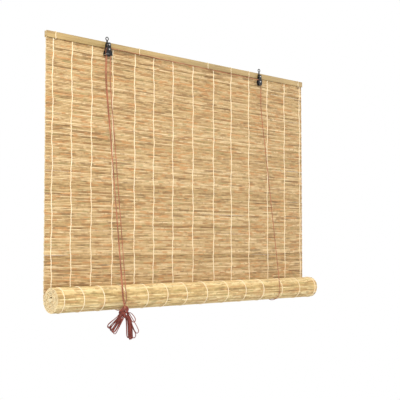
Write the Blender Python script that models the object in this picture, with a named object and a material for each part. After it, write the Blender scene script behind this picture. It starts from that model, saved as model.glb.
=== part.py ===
"""A reed roll-up blind, partly rolled up, hung on two eyes.

Metres, +Z up, +X to the right as seen from the room, the front faces -Y.
The origin is midway between the centres of the two hanging eyes.
"""

from math import asin, atan2, ceil, cos, pi, radians, sin

import bmesh
import bpy
from mathutils import Euler, Matrix, Vector

# Clearance between pieces that touch or run in each other
GAP = 0.0003

# Blind: overall width, the drop from the header's top to the roll's axis, and the roll
BLIND_WIDTH = 1.200
HANG_DROP = 0.810
ROLL_RADIUS = 0.0408
BLIND_CENTRE_X = 0.017
MAT_THICKNESS = 0.0052
ROD_RADIUS = 0.0060
ROD_OVERHANG = 0.002
SPIRAL_STEPS = 24

# Header: two slats that clamp the top of the mat
HEADER_TOP_Z = -0.010
SLAT_HEIGHT = 0.020
SLAT_DEPTH = 0.0040
SLAT_EDGE_ROUND = 0.0010
HEADER_FRONT_Y = 0.0026
SLAT_SCREW_INSET = 0.090
SLAT_SCREW_RADIUS = 0.0016
SLAT_SCREW_BITE = 0.0026
SCREW_TIP_TAPER = 0.6
SCREW_TIP_LENGTH = 0.0010
SCREW_HEAD_RADIUS = 0.0036
SCREW_HEAD_HEIGHT = 0.0016
HEAD_TAPER = 0.8

# Brackets: two plates on a bolt, a wheel axle, and the eye that hangs on the wall hook
EYE_HALF_SPAN = 0.359
PLATE_THICKNESS = 0.0012
EYE_THICKNESS = 0.0016
EYE_RING_RADIUS = 0.0065
EYE_HOLE_RADIUS = 0.0040
EYE_NECK_WIDTH = 0.0056
BOLT_RADIUS = 0.0020
BOLT_HEAD_RADIUS = 0.0030
BOLT_HEAD_HEIGHT = 0.0015
BOLT_HEAD_DOME = 0.7
BOLT_HEAD_SHOULDER = 0.4
BOLT_TIP_OUT = 0.0012
NUT_RADIUS = 0.0042
NUT_HEIGHT = 0.0026
SPACER_WALL = 0.0010
EYE_FOOT_WALL = 0.0022
LEFT_PIVOT_Z = -0.021
LEFT_AXLE_Z = -0.036
RIGHT_PIVOT_Z = -0.024
RIGHT_AXLE_Z = -0.044

# Bracket plates, as half widths and as heights above or below the bolt and the axle
PLATE_TOP_HALF = 0.0030
PLATE_TOP_RISE = 0.0072
PLATE_SHOULDER_HALF = 0.0054
PLATE_SHOULDER_RISE = 0.0050
PLATE_BOLT_HALF = 0.0062
PLATE_NECK_HALF = 0.0066
LEFT_NECK_DROP = 0.0070
LEFT_WAIST_INSET = 0.0005
LEFT_FLARE_DROP = 0.0080
LEFT_FLARE_HALF = 0.0122
LEFT_FOOT_HALF = 0.0134
LEFT_FOOT_RISE = 0.0020
LEFT_BASE_HALF = 0.0118
LEFT_BASE_BELOW_LOCK = 0.0030
RIGHT_NECK_DROP = 0.0080
RIGHT_WAIST_OUT = 0.0008
RIGHT_WAIST_RISE = 0.0030
RIGHT_ROUND_DROP = 0.0050
RIGHT_ROUND_ANGLES = (0, 22, 45, 68)

# Wheels and the cord lock
WHEEL_RADIUS = 0.0086
WHEEL_WIDTH = 0.0048
WHEEL_RIM = 0.0005
CORD_PITCH_RADIUS = 0.0070
LOCK_ROLLER_RADIUS = 0.0026
LOCK_JOURNAL_RADIUS = 0.0013
LOCK_TRAVEL = 0.0040
LOCK_LEAN = radians(22)
LOCK_DROP = 0.0170
LOCK_POST_RADIUS = 0.0017
LOCK_POST_DROP = 0.0165
LOCK_SLOT_RISE = 0.0015

# Cords
CORD_RADIUS = 0.0013
LEFT_LIFT_DRIFT = 0.0190
RIGHT_LIFT_DRIFT = 0.0260
PULL_DRIFT = 0.0185
PULL_SPACING = 0.0036
PULL_BELLY = 0.0040
KNOT_SIZE = (0.022, 0.016, 0.026)
KNOT_SIDE = 0.0005
KNOT_FORWARD = 0.0113
KNOT_DROP = 0.0440
LEFT_LOOP_SIZE = (0.030, 0.014, 0.066)
LEFT_LOOP_TILT = radians(34)
LEFT_LOOP_OFFSET = (-0.0330, 0.0, -0.0400)
RIGHT_LOOP_SIZE = (0.034, 0.014, 0.080)
RIGHT_LOOP_TILT = radians(-24)
RIGHT_LOOP_OFFSET = (0.0265, 0.0, -0.0500)

# Fixings behind the header, where the lift cords end
ANCHOR_OFFSET_X = 0.019
ANCHOR_WIDTH = 0.010
ANCHOR_DROP = 0.017
ANCHOR_RISE = 0.008
TIE_KNOT_WIDTH = 0.0070
TIE_KNOT_HEIGHT = 0.0080
TIE_KNOT_DROP = 0.00935
ANCHOR_SCREW_BITE = 0.0010

# Places that follow from the sizes above
MAT_FRONT_Y = HEADER_FRONT_Y + SLAT_DEPTH + GAP
MAT_BACK_Y = MAT_FRONT_Y + MAT_THICKNESS
BACK_SLAT_FRONT_Y = MAT_BACK_Y + GAP
HEADER_BACK_Y = BACK_SLAT_FRONT_Y + SLAT_DEPTH
HEADER_MID_Z = HEADER_TOP_Z - SLAT_HEIGHT / 2
HEADER_BOTTOM_Z = HEADER_TOP_Z - SLAT_HEIGHT
TIE_KNOT_Z = HEADER_BOTTOM_Z - TIE_KNOT_DROP
TIE_KNOT_SIZE = (TIE_KNOT_WIDTH, SLAT_DEPTH, TIE_KNOT_HEIGHT)
ROLL_Y = MAT_BACK_Y - ROLL_RADIUS
ROLL_Z = HEADER_TOP_Z - HANG_DROP
TURN_PITCH = MAT_THICKNESS + GAP
BACK_PLATE_Y = HEADER_FRONT_Y - GAP - PLATE_THICKNESS / 2
EYE_Y = BACK_PLATE_Y - PLATE_THICKNESS / 2 - GAP - EYE_THICKNESS / 2
BACK_WHEEL_Y = EYE_Y - EYE_THICKNESS / 2 - GAP - WHEEL_WIDTH / 2
FRONT_WHEEL_Y = BACK_WHEEL_Y - WHEEL_WIDTH - GAP
CRADLE_RADIUS = ROLL_RADIUS + GAP + CORD_RADIUS
LIFT_BACK_Y = ROLL_Y + CRADLE_RADIUS
LEFT_X = -EYE_HALF_SPAN
RIGHT_X = EYE_HALF_SPAN
LEFT_ROLL_X = LEFT_X + CORD_PITCH_RADIUS + LEFT_LIFT_DRIFT
RIGHT_ROLL_X = RIGHT_X + CORD_PITCH_RADIUS + RIGHT_LIFT_DRIFT
PULL_ROLL_X = LEFT_X - CORD_PITCH_RADIUS + PULL_DRIFT
KNOT_CENTRE = (PULL_ROLL_X + KNOT_SIDE, ROLL_Y - CRADLE_RADIUS - KNOT_FORWARD, ROLL_Z - KNOT_DROP)
BOLT_CLEARANCE = BOLT_RADIUS + GAP
SCREW_CLEARANCE = SLAT_SCREW_RADIUS + GAP


def clear_scene():
    for obj in list(bpy.data.objects):
        bpy.data.objects.remove(obj, do_unlink=True)


def finish_of(name, colour, roughness, metallic=0.0):
    """A Principled material."""
    mat = bpy.data.materials.new(name)
    mat.use_nodes = True
    shader = mat.node_tree.nodes["Principled BSDF"]
    shader.inputs["Base Color"].default_value = (*colour, 1.0)
    shader.inputs["Roughness"].default_value = roughness
    shader.inputs["Metallic"].default_value = metallic
    mat.diffuse_color = (*colour, 1.0)
    return mat


def place(name, data, mat, location=(0, 0, 0), rotation=(0, 0, 0), parent=None):
    """Links a mesh or curve as a named object. Its location is a world position."""
    obj = bpy.data.objects.new(name, data)
    data.materials.append(mat)
    bpy.context.collection.objects.link(obj)
    obj.rotation_euler = rotation
    obj.location = Vector(location) - (parent.location if parent else Vector())
    obj.parent = parent
    return obj


def mesh_from(bm, name, smooth=True):
    bmesh.ops.recalc_face_normals(bm, faces=bm.faces)
    mesh = bpy.data.meshes.new(name)
    bm.to_mesh(mesh)
    bm.free()
    if smooth:
        mesh.shade_smooth()
        mesh.set_sharp_from_angle(angle=radians(35))
    return mesh


def pivot(name, location):
    """An empty on a joint's axis, which moving pieces hang from."""
    empty = bpy.data.objects.new(name, None)
    empty.location = location
    bpy.context.collection.objects.link(empty)
    return empty


def slab(name, size, edge=0.0):
    """A box with rounded long edges."""
    bm = bmesh.new()
    bmesh.ops.create_cube(bm, size=1.0)
    bmesh.ops.scale(bm, vec=size, verts=bm.verts)
    if edge:
        long_edges = [e for e in bm.edges if abs(e.verts[0].co.x - e.verts[1].co.x) > edge]
        bmesh.ops.bevel(bm, geom=long_edges, offset=edge, segments=2, affect="EDGES",
                        profile=0.5, material=-1)
    return mesh_from(bm, name)


def plate(name, outline, thickness):
    """An outline in X and Z, made into a plate of that thickness about Y = 0."""
    bm = bmesh.new()
    corners = [bm.verts.new((x, -thickness / 2, z)) for x, z in outline]
    face = bm.faces.new(corners)
    made = bmesh.ops.extrude_face_region(bm, geom=[face])
    moved = [g for g in made["geom"] if isinstance(g, bmesh.types.BMVert)]
    bmesh.ops.translate(bm, vec=(0, thickness, 0), verts=moved)
    return mesh_from(bm, name, smooth=False)


def turned(name, profile, steps=24, closed=False):
    """A profile of (radius, distance along Y) turned about Y.

    An open profile starts and ends on the axis, and a closed one makes a ring.
    """
    bm = bmesh.new()
    points = [bm.verts.new((r, y, 0)) for r, y in profile]
    pairs = list(zip(points, points[1:]))
    if closed:
        pairs.append((points[-1], points[0]))
    edges = [bm.edges.new(pair) for pair in pairs]
    bmesh.ops.spin(bm, geom=points + edges, cent=(0, 0, 0), axis=(0, 1, 0), dvec=(0, 0, 0),
                   angle=2 * pi, steps=steps, use_merge=True, use_duplicate=False)
    bmesh.ops.remove_doubles(bm, verts=bm.verts, dist=1e-6)
    return mesh_from(bm, name)


def drill(obj, x, z, radius, depth=0.08, to=None):
    """Cuts a round hole along Y at world X and Z, or a slot that runs on to a second point."""
    bm = bmesh.new()
    ends = [(x, z), to or (x, z)]
    run = Vector((ends[1][0] - x, ends[1][1] - z))
    heading = atan2(run.y, run.x) if to else 0.0
    half = 10
    ring = []
    for end, turn in ((ends[0], pi / 2), (ends[1], -pi / 2)):
        steps = range(half + 1) if to else range(half)
        for step in steps:
            angle = heading + turn + pi * step / half
            ring.append(bm.verts.new((end[0] + radius * cos(angle), -depth / 2,
                                      end[1] + radius * sin(angle))))
    face = bm.faces.new(ring)
    made = bmesh.ops.extrude_face_region(bm, geom=[face])
    moved = [g for g in made["geom"] if isinstance(g, bmesh.types.BMVert)]
    bmesh.ops.translate(bm, vec=(0, depth, 0), verts=moved)
    cut_away(obj, bm)


def cut_away(obj, bm):
    """Adds a closed shape to the cutter that is subtracted from an object."""
    name = obj.name + "_cutter"
    cutter = bpy.data.objects.get(name)
    if cutter:
        bm.from_mesh(cutter.data)
        cutter.data = mesh_from(bm, name)
        return
    cutter = bpy.data.objects.new(name, mesh_from(bm, name))
    bpy.context.collection.objects.link(cutter)
    cutter.hide_render = True
    cutter.display_type = "WIRE"
    cut = obj.modifiers.new("holes", "BOOLEAN")
    cut.operation = "DIFFERENCE"
    cut.solver = "EXACT"
    cut.object = cutter


def blind_hole(obj, x, tip_y):
    """A screw hole in the front slat's back that stops short of its front face."""
    bm = bmesh.new()
    slat_back = HEADER_FRONT_Y + SLAT_DEPTH
    bmesh.ops.create_cone(bm, cap_ends=True, segments=16, radius1=SCREW_CLEARANCE,
                          radius2=SCREW_CLEARANCE, depth=2 * (slat_back - tip_y + GAP),
                          matrix=Matrix.Rotation(pi / 2, 4, "X"))
    bmesh.ops.translate(bm, vec=(x, slat_back, HEADER_MID_Z), verts=bm.verts)
    cut_away(obj, bm)


def smooth_route(route, spacing):
    """Points on a smooth curve through the route's own points, evenly spread on each stretch."""
    stops = [Vector(p) for p in route]
    before = [stops[0] * 2 - stops[1]] + stops
    after = stops[1:] + [stops[-1] * 2 - stops[-2]]
    headings = [(n - p) / ((n - s).length + (s - p).length)
                for p, s, n in zip(before, stops, after)]
    points = [stops[0]]
    for i in range(len(stops) - 1):
        start, end = stops[i], stops[i + 1]
        span = (end - start).length
        leave, arrive = headings[i] * span, headings[i + 1] * span
        count = max(1, ceil(span / spacing))
        for k in range(1, count + 1):
            t = k / count
            points.append(start * (2 * t ** 3 - 3 * t ** 2 + 1) + leave * (t ** 3 - 2 * t ** 2 + t)
                          + end * (3 * t ** 2 - 2 * t ** 3) + arrive * (t ** 3 - t ** 2))
    return points


def cord(name, route, mat, spacing=0.05, parent=None):
    """A round cord along a route, with closed ends."""
    curve = bpy.data.curves.new(name, "CURVE")
    curve.dimensions = "3D"
    points = smooth_route(route, spacing)
    spline = curve.splines.new("POLY")
    spline.points.add(len(points) - 1)
    origin = parent.location if parent else Vector()
    for slot, point in zip(spline.points, points):
        slot.co = (*(point - origin), 1.0)
    curve.bevel_depth = CORD_RADIUS
    curve.bevel_resolution = 2
    curve.use_fill_caps = True
    obj = place(name, curve, mat, location=origin, parent=parent)
    return obj


def pebble(name, size, mat, centre, parent=None):
    """A knot's outer shape."""
    bm = bmesh.new()
    bmesh.ops.create_icosphere(bm, subdivisions=2, radius=0.5)
    bmesh.ops.scale(bm, vec=size, verts=bm.verts)
    return place(name, mesh_from(bm, name), mat, centre, parent=parent)


def round_ended(width, length, steps=6):
    """An upright outline with round ends, as (x, z) points about its centre."""
    radius = width / 2
    rise = length / 2 - radius
    upper = [(radius * cos(pi * k / steps), rise + radius * sin(pi * k / steps))
             for k in range(steps + 1)]
    lower = [(-x, -z) for x, z in upper]
    return upper + lower


def mirrored(half):
    """An outline from its right-hand half, listed from top to bottom."""
    return half + [(-x, z) for x, z in reversed(half)]


def wood_screw(name, mat, x, tip_y, head_y):
    """A screw along Y at the header's middle, with its head behind head_y."""
    profile = [(0, tip_y), (SLAT_SCREW_RADIUS * SCREW_TIP_TAPER, tip_y),
               (SLAT_SCREW_RADIUS, tip_y + SCREW_TIP_LENGTH), (SLAT_SCREW_RADIUS, head_y),
               (SCREW_HEAD_RADIUS, head_y),
               (SCREW_HEAD_RADIUS * HEAD_TAPER, head_y + SCREW_HEAD_HEIGHT),
               (0, head_y + SCREW_HEAD_HEIGHT)]
    place(name, turned(name, profile, 16), mat, (x, 0, HEADER_MID_Z))


def make_header(wood, steel):
    """The two slats, and the screws that draw them together."""
    size = (BLIND_WIDTH, SLAT_DEPTH, SLAT_HEIGHT)
    front = place("header_front_slat", slab("header_front_slat", size, SLAT_EDGE_ROUND), wood,
                  (BLIND_CENTRE_X, HEADER_FRONT_Y + SLAT_DEPTH / 2, HEADER_MID_Z))
    back = place("header_back_slat", slab("header_back_slat", size, SLAT_EDGE_ROUND), wood,
                 (BLIND_CENTRE_X, BACK_SLAT_FRONT_Y + SLAT_DEPTH / 2, HEADER_MID_Z))
    tip_y = HEADER_FRONT_Y + SLAT_DEPTH - SLAT_SCREW_BITE
    reach = BLIND_WIDTH / 2 - SLAT_SCREW_INSET
    screws = [BLIND_CENTRE_X - reach, BLIND_CENTRE_X, BLIND_CENTRE_X + reach]
    for side, x in zip(("left", "middle", "right"), screws):
        wood_screw("header_screw_" + side, steel, x, tip_y, HEADER_BACK_Y + GAP)
    return front, back, screws, tip_y


def make_mat(reed):
    """The hanging stretch of the reed mat, from the header's top to the roll."""
    bottom = ROLL_Z + GAP
    height = HEADER_TOP_Z - GAP - bottom
    return place("reed_mat", slab("reed_mat", (BLIND_WIDTH, MAT_THICKNESS, height)), reed,
                 (BLIND_CENTRE_X, MAT_FRONT_Y + MAT_THICKNESS / 2, bottom + height / 2))


def spiral(offset):
    """One side of the rolled mat, as (y, z) points from the core outwards to the mat's end."""
    last = ROLL_RADIUS - MAT_THICKNESS / 2
    first = ROD_RADIUS + GAP + TURN_PITCH / 2
    steps = int((last - first) / TURN_PITCH * SPIRAL_STEPS)
    points = []
    for k in range(-steps, 1):
        angle = 2 * pi * k / SPIRAL_STEPS
        radius = last + TURN_PITCH * k / SPIRAL_STEPS + offset
        points.append((radius * cos(angle), radius * sin(angle)))
    return points


def make_roll(reed, wood, axle):
    """The rolled part of the mat, wound round the bottom rod."""
    outline = spiral(MAT_THICKNESS / 2) + list(reversed(spiral(-MAT_THICKNESS / 2)))
    bm = bmesh.new()
    ring = [bm.verts.new((-BLIND_WIDTH / 2, y, z)) for y, z in outline]
    face = bm.faces.new(ring)
    made = bmesh.ops.extrude_face_region(bm, geom=[face])
    moved = [g for g in made["geom"] if isinstance(g, bmesh.types.BMVert)]
    bmesh.ops.translate(bm, vec=(BLIND_WIDTH, 0, 0), verts=moved)
    place("reed_roll", mesh_from(bm, "reed_roll"), reed, axle.location, parent=axle)
    half = BLIND_WIDTH / 2 + ROD_OVERHANG
    profile = [(0, -half), (ROD_RADIUS, -half), (ROD_RADIUS, half), (0, half)]
    place("bottom_rod", turned("bottom_rod", profile, 16), wood, axle.location,
          rotation=(0, 0, pi / 2), parent=axle)


def plate_shoulders(pivot_z):
    """The upper right-hand half that both bracket plates share, from the top to the bolt."""
    return [(PLATE_TOP_HALF, pivot_z + PLATE_TOP_RISE),
            (PLATE_SHOULDER_HALF, pivot_z + PLATE_SHOULDER_RISE), (PLATE_BOLT_HALF, pivot_z)]


def left_plate_outline():
    """The flared plate of the locking bracket, about the bracket's centre line."""
    low = LEFT_AXLE_Z - LOCK_DROP - LEFT_BASE_BELOW_LOCK
    return mirrored(plate_shoulders(LEFT_PIVOT_Z)
                    + [(PLATE_NECK_HALF, LEFT_PIVOT_Z - LEFT_NECK_DROP),
                       (WHEEL_RADIUS - LEFT_WAIST_INSET, LEFT_AXLE_Z),
                       (LEFT_FLARE_HALF, LEFT_AXLE_Z - LEFT_FLARE_DROP),
                       (LEFT_FOOT_HALF, low + LEFT_FOOT_RISE), (LEFT_BASE_HALF, low)])


def right_plate_outline():
    """The round-bottomed plate of the plain bracket, about the bracket's centre line."""
    waist = WHEEL_RADIUS + RIGHT_WAIST_OUT
    round_z = RIGHT_AXLE_Z - RIGHT_ROUND_DROP
    lower = [(waist * cos(radians(a)), round_z - waist * sin(radians(a)))
             for a in RIGHT_ROUND_ANGLES]
    return mirrored(plate_shoulders(RIGHT_PIVOT_Z)
                    + [(PLATE_NECK_HALF, RIGHT_PIVOT_Z - RIGHT_NECK_DROP),
                       (waist, RIGHT_AXLE_Z + RIGHT_WAIST_RISE)] + lower)


def eye_outline(pivot_z):
    """The hanging eye: a ring about (0, 0), a neck, and a round lower end on the bolt."""
    neck = EYE_NECK_WIDTH / 2
    foot = BOLT_RADIUS + EYE_FOOT_WALL
    ring_start = asin(neck / EYE_RING_RADIUS)
    foot_start = asin(min(1.0, neck / foot))
    ring_steps = 18
    foot_steps = 8
    ring = []
    for k in range(ring_steps + 1):
        angle = -pi / 2 + ring_start + (2 * pi - 2 * ring_start) * k / ring_steps
        ring.append((EYE_RING_RADIUS * cos(angle), EYE_RING_RADIUS * sin(angle)))
    end = []
    for k in range(foot_steps + 1):
        angle = pi / 2 + foot_start + (2 * pi - 2 * foot_start) * k / foot_steps
        end.append((foot * cos(angle), pivot_z + foot * sin(angle)))
    return ring + end


def wheel(name, mat, axle):
    """A grooved wheel about its empty, turning on the bracket's axle."""
    half = WHEEL_WIDTH / 2
    bore = BOLT_CLEARANCE
    groove = CORD_PITCH_RADIUS - CORD_RADIUS - GAP
    seat = CORD_RADIUS
    profile = [(bore, -half), (WHEEL_RADIUS, -half), (WHEEL_RADIUS, -half + WHEEL_RIM),
               (groove, -seat), (groove, seat),
               (WHEEL_RADIUS, half - WHEEL_RIM), (WHEEL_RADIUS, half), (bore, half)]
    place(name, turned(name, profile, 20, closed=True), mat, axle.location, parent=axle)


def headed_pin(name, mat, x, z, front_y, back_y, tail_radius=None):
    """A round pin with a head in front of front_y, and a second head behind back_y if given."""
    profile = [(0, front_y - BOLT_HEAD_HEIGHT),
               (BOLT_HEAD_RADIUS * BOLT_HEAD_DOME, front_y - BOLT_HEAD_HEIGHT),
               (BOLT_HEAD_RADIUS, front_y - BOLT_HEAD_HEIGHT * BOLT_HEAD_SHOULDER),
               (BOLT_HEAD_RADIUS, front_y), (BOLT_RADIUS, front_y), (BOLT_RADIUS, back_y)]
    if tail_radius:
        tail = BOLT_HEAD_HEIGHT * BOLT_HEAD_DOME
        profile += [(tail_radius, back_y), (tail_radius * HEAD_TAPER, back_y + tail), (0, back_y + tail)]
    else:
        profile += [(0, back_y)]
    return place(name, turned(name, profile, 16), mat, (x, 0, z))


def make_bracket(side, x, pivot_z, axle_z, outline, wheel_ys, steel, bright, nylon):
    """One bracket: plates, bolt, nut, spacer, axle pin, wheels and the hanging eye."""
    front_y = wheel_ys[-1] - WHEEL_WIDTH / 2 - GAP - PLATE_THICKNESS / 2
    plates = []
    for name, y in ((side + "_back_plate", BACK_PLATE_Y), (side + "_front_plate", front_y)):
        obj = place(name, plate(name, outline, PLATE_THICKNESS), steel, (x, y, 0))
        drill(obj, x, pivot_z, BOLT_CLEARANCE)
        drill(obj, x, axle_z, BOLT_CLEARANCE)
        plates.append(obj)
    head_y = front_y - PLATE_THICKNESS / 2 - GAP
    nut_y = HEADER_BACK_Y + GAP
    tip_y = nut_y + NUT_HEIGHT + BOLT_TIP_OUT
    headed_pin(side + "_bracket_bolt", bright, x, pivot_z, head_y, tip_y)
    inner = BOLT_CLEARANCE
    nut = [(inner, nut_y), (NUT_RADIUS, nut_y), (NUT_RADIUS, nut_y + NUT_HEIGHT),
           (inner, nut_y + NUT_HEIGHT)]
    place(side + "_bracket_nut", turned(side + "_bracket_nut", nut, 6, closed=True), bright,
          (x, 0, pivot_z))
    near = front_y + PLATE_THICKNESS / 2 + GAP
    far = EYE_Y - EYE_THICKNESS / 2 - GAP
    tube = [(inner, near), (inner + SPACER_WALL, near), (inner + SPACER_WALL, far), (inner, far)]
    place(side + "_spacer", turned(side + "_spacer", tube, 16, closed=True), bright,
          (x, 0, pivot_z))
    tail_y = BACK_PLATE_Y + PLATE_THICKNESS / 2 + GAP
    headed_pin(side + "_wheel_axle", bright, x, axle_z, head_y, tail_y, BOLT_HEAD_RADIUS)
    eye_axis = pivot(side + "_eye_axis", (x, EYE_Y, pivot_z))
    outline_here = [(px, pz - pivot_z) for px, pz in eye_outline(pivot_z)]
    eye = place(side + "_hanging_eye", plate(side + "_hanging_eye", outline_here, EYE_THICKNESS),
                steel, eye_axis.location, parent=eye_axis)
    drill(eye, x, 0.0, EYE_HOLE_RADIUS)
    drill(eye, x, pivot_z, BOLT_CLEARANCE)
    names = ("back", "front") if len(wheel_ys) > 1 else ("",)
    for name, y in zip(names, wheel_ys):
        label = "_".join(part for part in (side, name, "wheel") if part)
        wheel(label, nylon, pivot(label + "_axis", (x, y, axle_z)))
    return plates, front_y


def make_lock(plates, front_y, x, bright):
    """The roller that wedges the pull cords against a fixed post, in slanting slots."""
    cord_x = x - CORD_PITCH_RADIUS
    rest = Vector((cord_x + CORD_RADIUS + GAP + LOCK_ROLLER_RADIUS,
                   LEFT_AXLE_Z - LOCK_DROP + LOCK_SLOT_RISE))
    free = rest + Vector((sin(LOCK_LEAN), cos(LOCK_LEAN))) * LOCK_TRAVEL
    post_x = cord_x - CORD_RADIUS - GAP - LOCK_POST_RADIUS
    post_z = LEFT_AXLE_Z - LOCK_POST_DROP
    for obj in plates:
        drill(obj, rest.x, rest.y, LOCK_JOURNAL_RADIUS + GAP, to=tuple(free))
        drill(obj, post_x, post_z, LOCK_POST_RADIUS + GAP)
    axis = pivot("lock_roller_axis", (rest.x, 0, rest.y))
    near = front_y + PLATE_THICKNESS / 2 + GAP
    far = BACK_PLATE_Y - PLATE_THICKNESS / 2 - GAP
    end_near = near - PLATE_THICKNESS - 2 * GAP
    end_far = far + PLATE_THICKNESS + GAP
    profile = [(0, end_near), (LOCK_JOURNAL_RADIUS, end_near), (LOCK_JOURNAL_RADIUS, near),
               (LOCK_ROLLER_RADIUS, near), (LOCK_ROLLER_RADIUS, far), (LOCK_JOURNAL_RADIUS, far),
               (LOCK_JOURNAL_RADIUS, end_far), (0, end_far)]
    place("lock_roller", turned("lock_roller", profile, 16), bright, axis.location, parent=axis)
    profile = [(0, end_near), (LOCK_POST_RADIUS, end_near), (LOCK_POST_RADIUS, end_far), (0, end_far)]
    place("lock_post", turned("lock_post", profile, 12), bright, (post_x, 0, post_z))


def arc(centre_x, y, centre_z, radius, start, end, steps):
    """Points round a wheel, in the X-Z plane, from one angle to another."""
    return [(centre_x + radius * cos(start + (end - start) * k / steps), y,
             centre_z + radius * sin(start + (end - start) * k / steps)) for k in range(steps + 1)]


def roll_front(x, from_y, from_z):
    """Where a cord that comes down from (from_y, from_z) first lies on the roll's front."""
    lean = asin((from_y - (ROLL_Y - CRADLE_RADIUS)) / (from_z - ROLL_Z))
    return Vector((x, ROLL_Y - CRADLE_RADIUS * cos(lean), ROLL_Z + CRADLE_RADIUS * sin(lean))), lean


def off_wheel(top, end, stops=4):
    """A run from a wheel's side: straight down past the wheel's rim, then on to its end."""
    below = Vector(top) - Vector((0, 0, WHEEL_RADIUS + CORD_RADIUS))
    return [Vector(top)] + [below.lerp(Vector(end), k / stops) for k in range(stops + 1)]


def shortened(route, start=GAP / 2, end=GAP / 2):
    """The route with its first and last points drawn in, to leave the gap to the next cord."""
    points = [Vector(p) for p in route]
    points[0] += (points[1] - points[0]).normalized() * start
    points[-1] += (points[-2] - points[-1]).normalized() * end
    return points


def make_lift_cord(side, top, roll_x, anchor_x, mat, cradle):
    """A lift cord: down the front, under the roll, and up behind to its anchor."""
    front, lean = roll_front(roll_x, top[1], top[2])
    cord(side + "_front_lift_cord", shortened(off_wheel(top, front)), mat)
    turns = 10
    sweep = pi + lean
    under = [(roll_x, ROLL_Y - CRADLE_RADIUS * cos(lean - sweep * k / turns),
              ROLL_Z + CRADLE_RADIUS * sin(lean - sweep * k / turns)) for k in range(turns + 1)]
    cord(side + "_cord_cradle", shortened(under), mat, spacing=0.012, parent=cradle)
    back_top = (anchor_x, LIFT_BACK_Y, TIE_KNOT_Z - TIE_KNOT_SIZE[2] / 2 - GAP)
    behind = [(roll_x, LIFT_BACK_Y, ROLL_Z), Vector((roll_x, LIFT_BACK_Y, ROLL_Z)).lerp(
        Vector(back_top), 0.5), back_top]
    cord(side + "_back_lift_cord", shortened(behind), mat)


def make_anchor(side, x, steel, bright, mat):
    """The plate behind the header that a lift cord is tied to, its screw, and the cord's knot."""
    plate_y = HEADER_BACK_Y + GAP + PLATE_THICKNESS / 2
    height = ANCHOR_DROP + ANCHOR_RISE + SLAT_HEIGHT / 2
    centre_z = HEADER_MID_Z + ANCHOR_RISE - height / 2
    outline = round_ended(ANCHOR_WIDTH, height)
    name = side + "_cord_anchor"
    anchor = place(name, plate(name, outline, PLATE_THICKNESS), steel, (x, plate_y, centre_z))
    drill(anchor, x, HEADER_MID_Z, SCREW_CLEARANCE)
    drill(anchor, x, TIE_KNOT_Z, CORD_RADIUS + 2 * GAP)
    wood_screw(side + "_anchor_screw", bright, x, BACK_SLAT_FRONT_Y + ANCHOR_SCREW_BITE,
               plate_y + PLATE_THICKNESS / 2 + GAP)
    pebble(side + "_tie_knot", TIE_KNOT_SIZE, mat,
           (x, MAT_BACK_Y + GAP + TIE_KNOT_SIZE[1] / 2, TIE_KNOT_Z))


def make_pull(top_front, top_back, mat, cradle):
    """The two pull cords down to the roll's front, their loose ends, the knot and its loops."""
    pull = pivot("pull_axis", KNOT_CENTRE)
    knot = Vector(KNOT_CENTRE)
    for index, top in enumerate((top_front, top_back)):
        name = ("front", "back")[index]
        roll_x = PULL_ROLL_X + PULL_SPACING * index
        front, lean = roll_front(roll_x, top[1], top[2])
        cord(name + "_pull_cord", shortened(off_wheel(top, front)), mat)
        top_of_knot = knot + Vector((PULL_SPACING * (index - 0.5), 0, KNOT_SIZE[2] / 2))
        low = Vector((roll_x, front.y - PULL_BELLY, (front.z + top_of_knot.z) / 2))
        tail = [front, low, top_of_knot + Vector((0, 0, GAP))]
        cord(name + "_pull_tail", shortened(tail), mat, spacing=0.008, parent=cradle)
    pebble("pull_knot", KNOT_SIZE, mat, knot, parent=pull)
    loops = (("left_pull_loops", LEFT_LOOP_SIZE, LEFT_LOOP_TILT, LEFT_LOOP_OFFSET),
             ("right_pull_loops", RIGHT_LOOP_SIZE, RIGHT_LOOP_TILT, RIGHT_LOOP_OFFSET))
    for name, size, tilt, offset in loops:
        outline = round_ended(size[0], size[2])
        place(name, plate(name, outline, size[1]), mat, knot + Vector(offset),
              rotation=Euler((0, tilt, 0)), parent=pull)


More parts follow.
